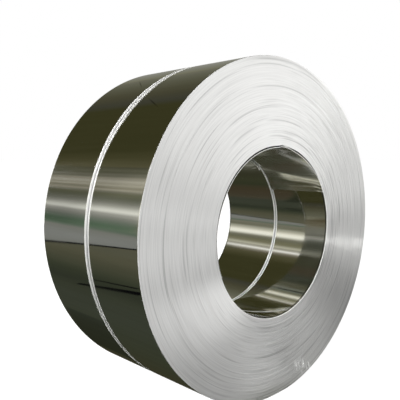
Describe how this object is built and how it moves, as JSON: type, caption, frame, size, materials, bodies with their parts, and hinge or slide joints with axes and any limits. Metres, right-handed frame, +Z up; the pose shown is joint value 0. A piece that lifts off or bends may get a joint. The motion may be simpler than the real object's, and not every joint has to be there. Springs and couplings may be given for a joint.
{
  "type": "aluminium foil coil pair",
  "caption": "Tightly wound aluminium foil strip in slit coils pushed together on one axis, with an open bore, lying on the rolling surface.",
  "frame": {"origin": "on the floor, under the middle of the pair of coils", "axes": "+Z up; the coils' common axis is along Y, and the front coil's free end faces -Y; X is across"},
  "size_m": [1.008, 0.45, 1.008],
  "materials": {
    "front_coil": "bright rolled foil, wound tight, with satin slit edges",
    "rear_coil": "bright rolled foil, wound tight, with satin slit edges"
  },
  "bodies": {
    "root": {"front_coil": "front_coil", "rear_coil": "rear_coil"}
  },
  "joints": []
}
